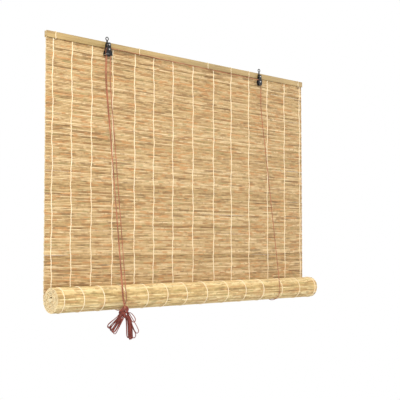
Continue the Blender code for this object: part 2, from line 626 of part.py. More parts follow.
def build():
    clear_scene()
    reed = finish_of("reed", (0.72, 0.52, 0.28), 0.65)
    wood = finish_of("header_wood", (0.60, 0.42, 0.20), 0.55)
    steel = finish_of("black_steel", (0.02, 0.018, 0.016), 0.40, 0.6)
    bright = finish_of("bright_steel", (0.62, 0.61, 0.58), 0.28, 1.0)
    nylon = finish_of("black_nylon", (0.03, 0.03, 0.03), 0.45)
    twine = finish_of("terracotta_cord", (0.42, 0.15, 0.08), 0.80)

    front_slat, back_slat, screws, screw_tip = make_header(wood, bright)
    mat = make_mat(reed)
    cradle = pivot("cradle_axis", (0, ROLL_Y, ROLL_Z))
    make_roll(reed, wood, pivot("roll_axis", (BLIND_CENTRE_X, ROLL_Y, ROLL_Z)))

    left_plates, left_front = make_bracket("left", LEFT_X, LEFT_PIVOT_Z, LEFT_AXLE_Z,
                                           left_plate_outline(), (BACK_WHEEL_Y, FRONT_WHEEL_Y),
                                           steel, bright, nylon)
    make_bracket("right", RIGHT_X, RIGHT_PIVOT_Z, RIGHT_AXLE_Z, right_plate_outline(),
                 (BACK_WHEEL_Y,), steel, bright, nylon)
    make_lock(left_plates, left_front, LEFT_X, bright)
    anchors = {"left": LEFT_X + ANCHOR_OFFSET_X, "right": RIGHT_X + ANCHOR_OFFSET_X}
    for side, x in anchors.items():
        make_anchor(side, x, steel, bright, twine)

    # The bolts and screws pass through the slats and the mat between them
    for x, z in ((LEFT_X, LEFT_PIVOT_Z), (RIGHT_X, RIGHT_PIVOT_Z)):
        for obj in (front_slat, mat, back_slat):
            drill(obj, x, z, BOLT_CLEARANCE)
    for x in screws:
        for obj in (mat, back_slat):
            drill(obj, x, HEADER_MID_Z, SCREW_CLEARANCE)
        blind_hole(front_slat, x, screw_tip)
    for x in anchors.values():
        drill(back_slat, x, HEADER_MID_Z, SCREW_CLEARANCE)

    rise = CORD_PITCH_RADIUS
    left_wrap = arc(LEFT_X, FRONT_WHEEL_Y, LEFT_AXLE_Z, rise, 0, pi, 10)
    cord("left_wheel_cord", left_wrap, twine, spacing=0.006)
    transfer = (arc(RIGHT_X, BACK_WHEEL_Y, RIGHT_AXLE_Z, rise, 0, pi / 2, 5)
                + arc(LEFT_X, BACK_WHEEL_Y, LEFT_AXLE_Z, rise, pi / 2, pi, 5))
    cord("transfer_cord", transfer, twine, spacing=0.06)
    make_lift_cord("left", (LEFT_X + rise, FRONT_WHEEL_Y, LEFT_AXLE_Z - GAP), LEFT_ROLL_X,
                   anchors["left"], twine, cradle)
    make_lift_cord("right", (RIGHT_X + rise, BACK_WHEEL_Y, RIGHT_AXLE_Z - GAP), RIGHT_ROLL_X,
                   anchors["right"], twine, cradle)
    make_pull((LEFT_X - rise, FRONT_WHEEL_Y, LEFT_AXLE_Z - GAP),
              (LEFT_X - rise, BACK_WHEEL_Y, LEFT_AXLE_Z - GAP), twine, cradle)


build()
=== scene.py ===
"""Looks for a reed roll-up blind: woven reeds, header, brackets, cords and the tied pull."""

import random
from math import asin, ceil, cos, pi, radians, sin

import bmesh
import bpy
from mathutils import Matrix, Vector


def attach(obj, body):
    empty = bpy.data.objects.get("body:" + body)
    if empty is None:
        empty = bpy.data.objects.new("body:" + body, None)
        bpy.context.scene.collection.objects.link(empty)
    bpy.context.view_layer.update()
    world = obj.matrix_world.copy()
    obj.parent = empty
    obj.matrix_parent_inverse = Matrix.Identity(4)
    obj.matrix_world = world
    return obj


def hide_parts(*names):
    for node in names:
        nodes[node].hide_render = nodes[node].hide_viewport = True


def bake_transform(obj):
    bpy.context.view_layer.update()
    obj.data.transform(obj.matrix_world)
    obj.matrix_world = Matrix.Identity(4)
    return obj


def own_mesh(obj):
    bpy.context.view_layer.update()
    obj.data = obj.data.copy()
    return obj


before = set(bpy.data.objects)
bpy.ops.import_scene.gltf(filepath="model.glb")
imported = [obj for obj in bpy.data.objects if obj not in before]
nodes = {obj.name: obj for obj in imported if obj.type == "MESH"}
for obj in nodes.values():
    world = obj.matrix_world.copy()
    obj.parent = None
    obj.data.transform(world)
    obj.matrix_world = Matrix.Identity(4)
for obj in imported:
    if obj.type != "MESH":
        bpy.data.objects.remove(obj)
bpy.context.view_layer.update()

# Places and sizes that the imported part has, in metres
GAP = 0.0003
CORD_RADIUS = 0.0013
CORD_PITCH = 0.0070
EYE_HALF_SPAN = 0.359
LEFT_AXLE_Z = -0.036
RIGHT_AXLE_Z = -0.044
BACK_WHEEL_Y = -0.0035
FRONT_WHEEL_Y = -0.0086
HEADER_TOP_Z = -0.010
HEADER_BOTTOM_Z = -0.030
MAT_MID_Y = 0.0095
MAT_BACK_Y = 0.0121
MAT_DEPTH = 0.0052
ROLL_Y = -0.0287
ROLL_Z = -0.820
ROLL_RADIUS = 0.0408
TURN_PITCH = MAT_DEPTH + GAP
CRADLE = ROLL_RADIUS + GAP + CORD_RADIUS
LEFT_ROLL_X = -0.3330
RIGHT_ROLL_X = 0.3920
PULL_ROLL_X = -0.3475
PULL_SPACING = 0.0036
ANCHOR_IN = 0.019
TIE_Z = -0.03935
TIE_SIZE = Vector((0.0070, 0.0040, 0.0080))
KNOT = Vector((-0.3470, -0.0824, -0.8640))
KNOT_SIZE = Vector((0.022, 0.016, 0.026))
STRING_RADIUS = 0.0013
HEADER_FRONT_Y = 0.0026
HEADER_BACK_Y = 0.0164
HEADER_TIES = (-0.5517, -0.2229, 0.0928, 0.2102, 0.3065, 0.5910)
BLIND_MID_X = 0.017
BLIND_WIDTH = 1.200

# How far a cord hangs plumb below its wheel, enough to clear the wheel when it is drawn up
PLUMB_RUN = 0.100

# Steps along a cord's line, in metres
RUN_STEP = 0.012
CROSSING_STEP = 0.006
WHEEL_STEP = 0.002
DROP_STEP = 0.003
BOW_STEP = 0.004

# How far the pull cords bulge forward between the roll and the knot, and end inside the knot
DROP_BULGE = 0.004
IN_KNOT = 0.008

# The radius of the turns that join the bow's loops inside the knot, in millimetres
KNOT_TURN = 5.4

# Fourteen warp lines, from the left
WARP_X = [x + BLIND_MID_X for x in (-0.576, -0.506, -0.430, -0.347, -0.256, -0.174, -0.088,
                                    0.006, 0.107, 0.197, 0.291, 0.394, 0.493, 0.585)]

# Reeds: thinnest, thickest and usual pitch, depths in the mat and in the roll, and how far each
# one's own height goes past its pitch, so that no gap shows between two
REED_PITCH = (0.0036, 0.0060, 0.0045)
MAT_REED_DEPTH = (0.0047, MAT_DEPTH)
ROLL_REED_DEPTH = (0.0051, 0.0056)
MAT_OVERLAP = 1.13
ROLL_OVERLAP = 1.12

# What makes each reed its own: how much shorter, slid, bent, tilted and tapered it is
REED_SHORT = (0.0002, 0.0030)
REED_SLIDE = 0.0006
REED_SWAY = 0.00028
REED_TILT = 0.00040
REED_TAPER = 0.16

# The share of a reed's bend that goes into the mat's depth
REED_DEPTH_BEND = 0.4

# A reed's sawn end: the rim's width in radii, and the hollow's depth in lengths
END_RIM = 0.60
END_PIT = 0.003

# Warp strings: the share of a reed's pitch, each way, on which a strand lies flat, its lean in
# its own radii, how far its middle stands off the reed in radii, and between the header's slats
STRING_FLAT = 0.30
STRING_LEAN = 0.45
MAT_STAND_OFF = 0.55
ROLL_STAND_OFF = 0.4
SQUEEZED_STAND_OFF = 0.0001 - STRING_RADIUS

# How the strings stray sideways: waves of (reach in metres, turn from reed to reed, phase share)
MAT_STRAY = ((0.0016, 0.17, 1), (0.0008, 0.61, 2))
ROLL_STRAY = ((0.0010, 0.21, 1),)

# The rod inside the roll, and the angle at which the strings round the roll end
ROD_RADIUS = 0.0060
LAST_RING = -1.88 * pi

# The camera, what the lights are aimed at, and the floor
CAMERA_SPOT = (-1.985, -2.135, -0.655)
CAMERA_TURN = (radians(92.99), 0.0, radians(-43.64))
CAMERA_LENS = 76.0
LIGHT_AIM = (0.0, 0.0, -0.4)
FLOOR_HALF = 2.4
FLOOR_Z = -2.42
WORLD_LIGHT = 0.62

BLACK = (0, 0, 0)
WHITE = (1, 1, 1)


# ---------------------------------------------------------------- camera, light and floor

def look(name, spot, euler, lens):
    cam = bpy.data.cameras.new(name)
    cam.lens = lens
    cam.sensor_width = 36.0
    obj = bpy.data.objects.new(name, cam)
    obj.location = spot
    obj.rotation_euler = euler
    bpy.context.collection.objects.link(obj)
    bpy.context.scene.camera = obj


def softbox(name, spot, size, power):
    light = bpy.data.lights.new(name, "AREA")
    light.shape = "SQUARE"
    light.size = size
    light.energy = power
    obj = bpy.data.objects.new(name, light)
    obj.location = spot
    obj.rotation_euler = (Vector(LIGHT_AIM) - Vector(spot)).to_track_quat("-Z", "Y").to_euler()
    bpy.context.collection.objects.link(obj)


def studio():
    look("camera", CAMERA_SPOT, CAMERA_TURN, CAMERA_LENS)
    scene = bpy.context.scene
    scene.view_settings.view_transform = "Standard"
    scene.view_settings.look = "None"
    world = bpy.data.worlds.new("white room")
    scene.world = world
    world.use_nodes = True
    tree = world.node_tree
    back = tree.nodes["Background"]
    back.inputs["Color"].default_value = (*WHITE, 1.0)
    # White to the camera, and dimmer as a light
    rays = tree.nodes.new("ShaderNodeLightPath")
    level = tree.nodes.new("ShaderNodeMapRange")
    level.inputs["To Min"].default_value = WORLD_LIGHT
    level.inputs["To Max"].default_value = 1.0
    tree.links.new(rays.outputs["Is Camera Ray"], level.inputs["Value"])
    tree.links.new(level.outputs["Result"], back.inputs["Strength"])
    softbox("key light", (-2.3, -2.4, 1.3), 1.6, 120)
    softbox("fill light", (2.6, -2.2, 0.2), 2.0, 26)
    softbox("back light", (0.3, 2.8, 0.9), 2.0, 50)

    bm = bmesh.new()
    bmesh.ops.create_grid(bm, x_segments=1, y_segments=1, size=FLOOR_HALF)
    bmesh.ops.translate(bm, vec=(0, 0, FLOOR_Z), verts=bm.verts)
    floor = as_piece("floor", bm, floor_paint(), smooth=False)


# ---------------------------------------------------------------- material building

class Paint:
    """A node material, with short calls for its nodes."""

    def __init__(self, name, rough=0.6, metal=0.0):
        self.mat = bpy.data.materials.new(name)
        self.mat.use_nodes = True
        self.tree = self.mat.node_tree
        self.shader = self.tree.nodes["Principled BSDF"]
        self.put("Roughness", rough)
        self.put("Metallic", metal)
        self.coords = None

    def put(self, socket, value):
        self.shader.inputs[socket].default_value = value

    def link(self, out, into):
        self.tree.links.new(out, into)

    def node(self, kind, **sockets):
        made = self.tree.nodes.new("ShaderNode" + kind)
        for key, value in sockets.items():
            self.feed(made, key, value)
        return made

    def feed(self, node, key, value):
        """Set or link one socket, named by its label or as i0, i1 and so on."""
        numbered = key[0] == "i" and key[1:].isdigit()
        socket = node.inputs[int(key[1:]) if numbered else key.replace("_", " ")]
        if isinstance(value, bpy.types.NodeSocket):
            self.link(value, socket)
        else:
            socket.default_value = value

    def place(self, kind="Object"):
        if not self.coords:
            self.coords = self.tree.nodes.new("ShaderNodeTexCoord")
        return self.coords.outputs[kind]

    def stretch(self, vector, scale=(1, 1, 1), offset=(0, 0, 0)):
        made = self.node("Mapping", Vector=vector)
        made.inputs["Scale"].default_value = scale
        made.inputs["Location"].default_value = offset
        return made.outputs["Vector"]

    def noise(self, vector, scale, detail=3.0, roughness=0.5):
        return self.node("TexNoise", Vector=vector, Scale=scale, Detail=detail,
                         Roughness=roughness).outputs["Fac"]

    def maths(self, operation, a, b=0.0, c=0.0):
        made = self.node("Math", i0=a, i1=b, i2=c)
        made.operation = operation
        return made.outputs["Value"]

    def attribute(self, name):
        made = self.tree.nodes.new("ShaderNodeAttribute")
        made.attribute_name = name
        return made.outputs["Fac"]

    def ramp(self, value, *stops):
        made = self.node("ValToRGB", Fac=value)
        marks = made.color_ramp.elements
        while len(marks) < len(stops):
            marks.new(0.5)
        for mark, (at, colour) in zip(marks, stops):
            mark.position = at
            mark.color = (*colour, 1.0)
        return made.outputs["Color"]

    def mask(self, value, low, high, rising=True):
        """From 0 at one level to 1 at the next, or from 1 to 0."""
        first, second = (BLACK, WHITE) if rising else (WHITE, BLACK)
        return self.ramp(value, (low, first), (high, second))

    def layer(self, base, mask, share, colour):
        """A colour laid over the base at that share, where the mask is 1."""
        return self.blend("MIX", self.maths("MULTIPLY", mask, share), base, colour)

    def blend(self, kind, share, a, b):
        made = self.tree.nodes.new("ShaderNodeMix")
        made.data_type = "RGBA"
        made.blend_type = kind
        for index, value in ((0, share), (6, a), (7, b)):
            if isinstance(value, bpy.types.NodeSocket):
                self.link(value, made.inputs[index])
            else:
                made.inputs[index].default_value = (*value, 1.0) if index else value
        return made.outputs[2]

    def colour(self, out):
        self.link(out, self.shader.inputs["Base Color"])

    def rough_from(self, value, low, high):
        made = self.node("MapRange", Value=value)
        made.inputs["To Min"].default_value = low
        made.inputs["To Max"].default_value = high
        self.link(made.outputs["Result"], self.shader.inputs["Roughness"])

    def bump(self, height, depth, strength=1.0):
        made = self.node("Bump", Height=height)
        made.inputs["Distance"].default_value = depth
        made.inputs["Strength"].default_value = strength
        self.link(made.outputs["Normal"], self.shader.inputs["Normal"])


def floor_paint():
    paint = Paint("floor paint", rough=0.9)
    cloud = paint.noise(paint.place(), 1.2)
    paint.colour(paint.ramp(cloud, (0.3, (0.80, 0.80, 0.79)), (0.7, (0.84, 0.84, 0.83))))
    return paint.mat


def reed_skin(name, light, deep):
    """Reed: patches and stains along each cane, fine lengthwise fibres, joints and sawn ends.

    Light holds the stops of its main colours, and deep the colours of the layers over them.
    """
    paint = Paint(name, rough=0.5)
    place = paint.place()
    shift = paint.attribute("reed_shift")
    tone = paint.attribute("reed_tone")
    parts = paint.node("SeparateXYZ", Vector=place)
    along = paint.maths("ADD", parts.outputs["X"], shift)
    line = paint.node("CombineXYZ", X=along,
                      Y=paint.maths("MULTIPLY", shift, 3.7)).outputs["Vector"]
    patch = paint.noise(line, 12.0, 5.0, 0.68)
    mixed = paint.maths("ADD", paint.maths("MULTIPLY", tone, 0.24),
                        paint.maths("MULTIPLY", patch, 0.80))
    base = paint.ramp(mixed, *light)
    # Warm and green patches
    warmth = paint.noise(paint.stretch(line, offset=(7.0, 3.0, 0.0)), 14.0, 2.0, 0.6)
    base = paint.layer(base, paint.mask(warmth, 0.56, 0.62), 0.70, deep["warm"])
    base = paint.layer(base, paint.mask(warmth, 0.33, 0.39, rising=False), 0.55, deep["olive"])
    # Dark stains on a few canes
    stain = paint.noise(paint.stretch(line, offset=(2.0, 11.0, 0.0)), 7.0, 3.0, 0.6)
    base = paint.layer(base, paint.mask(stain, 0.60, 0.66), 0.70, deep["stain"])
    # Brown lengths of cane
    brown = paint.noise(paint.stretch(line, offset=(9.0, 5.0, 4.0)), 12.0, 3.0, 0.6)
    base = paint.layer(base, paint.mask(brown, 0.56, 0.60), 0.60, deep["brown"])
    # Fibres that run the length of the cane
    fibre = paint.noise(paint.stretch(place, (14, 1500, 1500)), 1.0, 3.0, 0.6)
    grain = paint.ramp(fibre, (0.30, (0.74, 0.70, 0.62)), (0.68, (1.06, 1.05, 1.03)))
    base = paint.blend("MULTIPLY", 1.0, base, grain)
    # Short dark dashes, finer than the cane
    dash = paint.noise(paint.stretch(place, (17, 430, 430), (5.0, 2.0, 9.0)), 1.0, 3.0, 0.6)
    base = paint.layer(base, paint.mask(dash, 0.57, 0.63), 0.60, deep["stain"])
    # A dark joint every so often
    step = paint.maths("FRACT", paint.maths("MULTIPLY", along, 4.3))
    edge = paint.maths("ABSOLUTE", paint.maths("SUBTRACT", step, 0.5))
    ring = paint.ramp(edge, (0.0, WHITE), (0.006, WHITE), (0.016, BLACK))
    base = paint.layer(base, ring, 0.55, deep["joint"])
    # Pale pith on the sawn ends
    base = paint.blend("MIX", paint.attribute("reed_cut"), base, deep["pith"])
    paint.colour(base)
    paint.rough_from(fibre, 0.38, 0.66)
    height = paint.maths("ADD", fibre, paint.maths("MULTIPLY", ring, 1.6))
    paint.bump(height, 0.00025, 0.7)
    paint.put("Specular IOR Level", 0.35)
    return paint.mat


def cotton():
    """Cream cotton string, twisted, with painted shade in the grooves of its twist."""
    paint = Paint("cream cotton string", rough=0.9)
    place = paint.place()
    parts = paint.node("SeparateXYZ", Vector=paint.place("UV"))
    along = paint.maths("MULTIPLY", parts.outputs["Y"], 620.0)
    turn = paint.maths("MULTIPLY", parts.outputs["X"], 4 * pi)
    lay = paint.maths("SINE", paint.maths("ADD", along, turn))
    fuzz = paint.noise(place, 900.0, 2.0)
    worn = paint.noise(place, 14.0, 2.0)
    base = paint.ramp(worn, (0.30, (0.98, 0.82, 0.56)), (0.70, (1.0, 0.90, 0.68)))
    # Painted shade: the colour darkens where the twist's sine is low, in the grooves between the
    # plies
    painted_groove_shade = paint.ramp(paint.maths("MULTIPLY_ADD", lay, 0.5, 0.5),
                       (0.0, (0.86, 0.76, 0.60)), (0.6, (1.0, 1.0, 1.0)))
    paint.colour(paint.blend("MULTIPLY", 0.6, base, painted_groove_shade))
    paint.bump(paint.maths("ADD", lay, fuzz), 0.0001, 0.4)
    return paint.mat


def twine(name, pale, full, dark):
    """Round plaited twine: crossing strands that run along the cord, with painted shade in the
    grooves between them.
    """
    paint = Paint(name, rough=0.82)
    place = paint.place()
    parts = paint.node("SeparateXYZ", Vector=paint.place("UV"))
    along = paint.maths("MULTIPLY", parts.outputs["Y"], 1150.0)
    turn = paint.maths("MULTIPLY", parts.outputs["X"], 8 * pi)
    one = paint.maths("SINE", paint.maths("ADD", along, turn))
    two = paint.maths("SINE", paint.maths("SUBTRACT", along, turn))
    plait = paint.maths("MAXIMUM", one, two)
    fuzz = paint.noise(place, 1400.0, 2.0)
    fade = paint.noise(place, 22.0, 3.0)
    base = paint.ramp(fade, (0.28, pale), (0.55, full), (0.80, dark))
    # Painted shade in the grooves between the crossing strands, and a faint painted highlight on
    # their crests
    painted_groove_shade = paint.ramp(paint.maths("MULTIPLY_ADD", plait, 0.5, 0.5),
                       (0.30, (0.42, 0.38, 0.36)), (0.85, (1.05, 1.05, 1.05)))
    paint.colour(paint.blend("MULTIPLY", 0.85, base, painted_groove_shade))
    paint.bump(paint.maths("MULTIPLY_ADD", fuzz, 0.5, plait), 0.00035, 0.9)
    paint.put("Sheen Weight", 0.06)
    return paint.mat


def strip_wood():
    """The header's planed strip: long grain, fine pores and a golden varnish."""
    paint = Paint("header strip wood", rough=0.45)
    place = paint.place()
    long_grain = paint.noise(paint.stretch(place, (2.2, 160, 120)), 1.0, 4.0, 0.55)
    pores = paint.noise(paint.stretch(place, (30, 1800, 1500)), 1.0, 2.0, 0.7)
    cloud = paint.noise(paint.stretch(place, offset=(3.0, 1.0, 0.0)), 4.0, 2.0)
    base = paint.ramp(long_grain, (0.22, (0.33, 0.215, 0.075)), (0.45, (0.44, 0.30, 0.115)),
                      (0.62, (0.50, 0.355, 0.15)), (0.80, (0.38, 0.26, 0.10)))
    haze = paint.ramp(cloud, (0.35, (0.86, 0.86, 0.80)), (0.65, (1.06, 1.04, 1.0)))
    base = paint.blend("MULTIPLY", 1.0, base, haze)
    streak = paint.noise(paint.stretch(place, (11, 420, 300), (2.0, 5.0, 0.0)), 1.0, 3.0, 0.6)
    base = paint.layer(base, paint.mask(streak, 0.55, 0.63), 0.60, (0.27, 0.15, 0.05))
    fine = paint.ramp(pores, (0.28, (0.74, 0.70, 0.64)), (0.55, (1.0, 1.0, 1.0)))
    paint.colour(paint.blend("MULTIPLY", 0.7, base, fine))
    paint.rough_from(pores, 0.36, 0.62)
    paint.bump(paint.maths("ADD", long_grain, pores), 0.0002, 0.5)
    paint.put("Coat Weight", 0.15)
    paint.put("Coat Roughness", 0.3)
    return paint.mat


def rod_wood():
    """The pale round rod at the mat's lower end."""
    paint = Paint("pale rod wood", rough=0.6)
    place = paint.place()
    grain = paint.noise(paint.stretch(place, (6, 700, 700)), 1.0, 3.0, 0.6)
    paint.colour(paint.ramp(grain, (0.30, (0.74, 0.58, 0.32)), (0.65, (0.92, 0.78, 0.50))))
    paint.rough_from(grain, 0.5, 0.7)
    paint.bump(grain, 0.0002, 0.5)
    return paint.mat


def black_enamel():
    """Black lacquered steel, rubbed through to metal in fine scratches."""
    paint = Paint("black lacquered steel", rough=0.35)
    place = paint.place()
    skin = paint.noise(place, 420.0, 3.0)
    worn = paint.noise(place, 150.0, 4.0, 0.7)
    base = paint.ramp(skin, (0.30, (0.004, 0.004, 0.004)), (0.75, (0.011, 0.011, 0.011)))
    paint.colour(paint.layer(base, paint.mask(worn, 0.64, 0.72), 0.45, (0.20, 0.19, 0.18)))
    paint.rough_from(skin, 0.30, 0.55)
    paint.bump(skin, 0.00012, 0.5)
    paint.put("Specular IOR Level", 0.3)
    return paint.mat


def plated_steel():
    """Zinc-plated rivets, bolts and screws."""
    paint = Paint("zinc plated steel", rough=0.3, metal=1.0)
    place = paint.place()
    cloud = paint.noise(place, 260.0, 4.0, 0.6)
    brushed = paint.noise(paint.stretch(place, (300, 2400, 300)), 1.0, 2.0)
    paint.colour(paint.ramp(cloud, (0.25, (0.30, 0.29, 0.28)), (0.70, (0.52, 0.51, 0.50))))
    paint.rough_from(cloud, 0.32, 0.55)
    paint.bump(brushed, 0.00005, 0.5)
    return paint.mat


def wheel_nylon():
    """Black nylon, moulded and polished by the cord."""
    paint = Paint("black nylon", rough=0.4)
    skin = paint.noise(paint.place(), 700.0, 2.0)
    paint.colour(paint.ramp(skin, (0.3, (0.016, 0.016, 0.017)), (0.7, (0.034, 0.034, 0.036))))
    paint.rough_from(skin, 0.32, 0.52)
    paint.bump(skin, 0.00008, 0.4)
    return paint.mat


# ---------------------------------------------------------------- shapes

def as_piece(name, bm, mat, smooth=True):
    """A finished mesh object at the origin."""
    mesh = bpy.data.meshes.new(name)
    bm.to_mesh(mesh)
    bm.free()
    if smooth:
        mesh.shade_smooth()
        mesh.set_sharp_from_angle(angle=radians(50))
    mesh.materials.append(mat)
    obj = bpy.data.objects.new(name, mesh)
    bpy.context.collection.objects.link(obj)
    return obj


def strands(name, routes, radius, mat, resolution=1):
    """Round strands along routes, as one mesh. Their UV runs round, and along in metres."""
    curve = bpy.data.curves.new(name + " line", "CURVE")
    curve.dimensions = "3D"
    length = 0.0
    for route in routes:
        spline = curve.splines.new("POLY")
        spline.points.add(len(route) - 1)
        for slot, point in zip(spline.points, route):
            slot.co = (*point, 1.0)
        length = max(length, run_of(route))
    curve.bevel_depth = radius
    curve.bevel_resolution = resolution
    curve.use_fill_caps = True
    source = bpy.data.objects.new(name + " line", curve)
    bpy.context.collection.objects.link(source)
    depsgraph = bpy.context.evaluated_depsgraph_get()
    mesh = bpy.data.meshes.new_from_object(source.evaluated_get(depsgraph))
    bpy.data.objects.remove(source)
    bm = bmesh.new()
    bm.from_mesh(mesh)
    bpy.data.meshes.remove(mesh)
    bmesh.ops.remove_doubles(bm, verts=bm.verts, dist=1e-7)
    layer = bm.loops.layers.uv.active
    for face in bm.faces:
        for loop in face.loops:
            loop[layer].uv.y *= length
    bmesh.ops.recalc_face_normals(bm, faces=bm.faces)
    return as_piece(name, bm, mat)


def run_of(route):
    return sum((Vector(b) - Vector(a)).length for a, b in zip(route, route[1:]))


def smooth_route(route, spacing):
    """Points on a smooth curve through the route's own points, evenly spread on each stretch."""
    stops = [Vector(p) for p in route]
    before = [stops[0] * 2 - stops[1]] + stops
    after = stops[1:] + [stops[-1] * 2 - stops[-2]]
    headings = [(ahead - behind) / ((ahead - stop).length + (stop - behind).length)
                for behind, stop, ahead in zip(before, stops, after)]
    points = [stops[0]]
    for i in range(len(stops) - 1):
        start, end = stops[i], stops[i + 1]
        span = (end - start).length
        leave, arrive = headings[i] * span, headings[i + 1] * span
        count = max(1, ceil(span / spacing))
        for k in range(1, count + 1):
            t = k / count
            points.append(start * (2 * t ** 3 - 3 * t ** 2 + 1)
                          + leave * (t ** 3 - 2 * t ** 2 + t)
                          + end * (3 * t ** 2 - 2 * t ** 3)
                          + arrive * (t ** 3 - t ** 2))
    return points


def pliant(piece):
    """A hanging piece, carried by the header, with a mesh of its own."""
    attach(piece, "header")
    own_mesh(piece)


# ---------------------------------------------------------------- cords

def arc(centre_x, y, centre_z, start, end, steps):
    """Part of a cord's turn round a wheel."""
    angles = [start + (end - start) * k / steps for k in range(steps + 1)]
    return [(centre_x + CORD_PITCH * cos(angle), y, centre_z + CORD_PITCH * sin(angle))
            for angle in angles]


def roll_front(x, from_y, from_z):
    """Where a cord from above first lies on the roll's front, and its lean there."""
    lean = asin((from_y - (ROLL_Y - CRADLE)) / (from_z - ROLL_Z))
    return Vector((x, ROLL_Y - CRADLE * cos(lean), ROLL_Z + CRADLE * sin(lean))), lean


def off_wheel(top, end):
    """Stops for a cord that leaves a wheel plumb and then leans to its end on the roll."""
    stops = 4
    below = Vector(top) - Vector((0, 0, PLUMB_RUN))
    return [Vector(top)] + [below.lerp(Vector(end), k / stops) for k in range(stops + 1)]


def lift_cords(mat):
    """Two lift cords: over the wheels, down the front, under the roll and up behind."""
    left_x, right_x = -EYE_HALF_SPAN, EYE_HALF_SPAN
    wrap = smooth_route(arc(left_x, FRONT_WHEEL_Y, LEFT_AXLE_Z, 0, pi, 10), WHEEL_STEP)
    piece = strands("left_wheel_turn", [wrap], CORD_RADIUS, mat, 2)
    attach(piece, "header")
    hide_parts("left_wheel_cord")
    over = smooth_route(arc(right_x, BACK_WHEEL_Y, RIGHT_AXLE_Z, 0, pi / 2, 5)
                        + arc(left_x, BACK_WHEEL_Y, LEFT_AXLE_Z, pi / 2, pi, 5), CROSSING_STEP)
    piece = strands("crossing_cord", [over], CORD_RADIUS, mat, 2)
    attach(piece, "header")
    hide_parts("transfer_cord")
    sides = (("left", (left_x + CORD_PITCH, FRONT_WHEEL_Y, LEFT_AXLE_Z - GAP), LEFT_ROLL_X,
              left_x + ANCHOR_IN),
             ("right", (right_x + CORD_PITCH, BACK_WHEEL_Y, RIGHT_AXLE_Z - GAP), RIGHT_ROLL_X,
              right_x + ANCHOR_IN))
    for side, top, roll_x, anchor_x in sides:
        front, lean = roll_front(roll_x, top[1], top[2])
        route = smooth_route(off_wheel(top, front), RUN_STEP)
        piece = strands(side + "_lift_cord_front", [route], CORD_RADIUS, mat, 2)
        pliant(piece)
        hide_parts(side + "_front_lift_cord")
        steps = 30
        angles = [lean - (pi + lean) * k / steps for k in range(steps + 1)]
        under = [(roll_x, ROLL_Y - CRADLE * cos(angle), ROLL_Z + CRADLE * sin(angle))
                 for angle in angles]
        piece = strands(side + "_roll_sling", [under], CORD_RADIUS, mat, 2)
        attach(piece, "cord_cradle")
        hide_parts(side + "_cord_cradle")
        end = Vector((anchor_x, ROLL_Y + CRADLE, TIE_Z - TIE_SIZE.z / 2))
        start = Vector((roll_x, ROLL_Y + CRADLE, ROLL_Z))
        route = smooth_route([start, start.lerp(end, 0.5), end], RUN_STEP)
        piece = strands(side + "_lift_cord_back", [route], CORD_RADIUS, mat, 2)
        pliant(piece)
        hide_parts(side + "_back_lift_cord")
        tie_knot(side, anchor_x, mat)


def tie_knot(side, x, mat):
    """The stopper knot behind the header: a tight trefoil and its trimmed end."""
    centre = Vector((x, MAT_BACK_Y + GAP + TIE_SIZE.y / 2, TIE_Z))
    loop = trefoil(centre, TIE_SIZE * 0.5 - Vector((0.0012, 0.0012, 0.0012)), 36)
    tail = smooth_route([centre + Vector((0.001, 0.001, -0.002)),
                         centre + Vector((0.0035, 0.002, -0.006)),
                         centre + Vector((0.0040, 0.001, -0.012))], WHEEL_STEP)
    piece = strands(side + "_stopper_knot", [loop, tail], CORD_RADIUS * 0.95, mat)
    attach(piece, "header")
    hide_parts(side + "_tie_knot")


def trefoil(centre, half, steps, grow=1.0, turn=0.0):
    """An overhand knot's line, flat to the front, that fills a box of those half sizes."""
    line = []
    for k in range(steps + 1):
        t = 2 * pi * k / steps
        # Divided so that the line just reaches the sides of the box
        x = (sin(t) + 2 * sin(2 * t)) / 2.65
        z = (cos(t) - 2 * cos(2 * t)) / 2.75
        y = -sin(3 * t)
        px = x * cos(turn) - z * sin(turn)
        pz = x * sin(turn) + z * cos(turn)
        line.append(centre + Vector((px * half.x * grow, y * half.y, pz * half.z * grow)))
    return line


def pull_cords(mat):
    """The two pull cords, from the left wheels down to the roll and on to the knot."""
    for index, (name, y) in enumerate((("front", FRONT_WHEEL_Y), ("back", BACK_WHEEL_Y))):
        top = (-EYE_HALF_SPAN - CORD_PITCH, y, LEFT_AXLE_Z - GAP)
        front, lean = roll_front(PULL_ROLL_X + PULL_SPACING * index, top[1], top[2])
        route = smooth_route(off_wheel(top, front), RUN_STEP)
        run = strands(name + "_pull_run", [route], CORD_RADIUS, mat, 2)
        pliant(run)
        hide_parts(name + "_pull_cord")
        into = KNOT + Vector((PULL_SPACING * (index - 0.5), 0, KNOT_SIZE.z / 2))
        low = Vector((front.x, front.y - DROP_BULGE, (front.z + into.z) / 2))
        inside = into - Vector((0, 0, IN_KNOT))
        route = smooth_route([front, low, into, inside], DROP_STEP)
        tail = strands(name + "_pull_drop", [route], CORD_RADIUS, mat, 2)
        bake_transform(tail)
        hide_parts(name + "_pull_tail")


def loop_stops(line, half, deep, turned=True):
    """Stops in millimetres for one loop: a turn inside the knot, out, round its end and back.

    The line is the loop's middle, from the knot, half is half its width, and deep is how far it
    lies behind the knot's middle. The turn in the knot joins it to the loop before.
    """
    line = [Vector((x, 0, z)) for x, z in line]
    way = (line[-1] - line[-2]).normalized()
    side = Vector((way.z, 0, -way.x))
    spread = (KNOT_TURN, half * 0.9, half)
    out = [spot + side * share for spot, share in zip(line, spread)]
    turn = [line[-1] + (side * across + way * ahead) * half
            for across, ahead in ((0.7, 0.75), (0.0, 1.05), (-0.7, 0.75))]
    home = [spot - side * share for spot, share in reversed(list(zip(line, spread)))]
    depths = (0.3, 0.8, 1.0, 1.0, 1.0, 1.0, 1.0, 0.8, 0.3)
    stops = [(spot.x, deep * share, spot.z) for spot, share in zip(out + turn + home, depths)]
    return (knot_turn(line[0], way, side) if turned else []) + stops


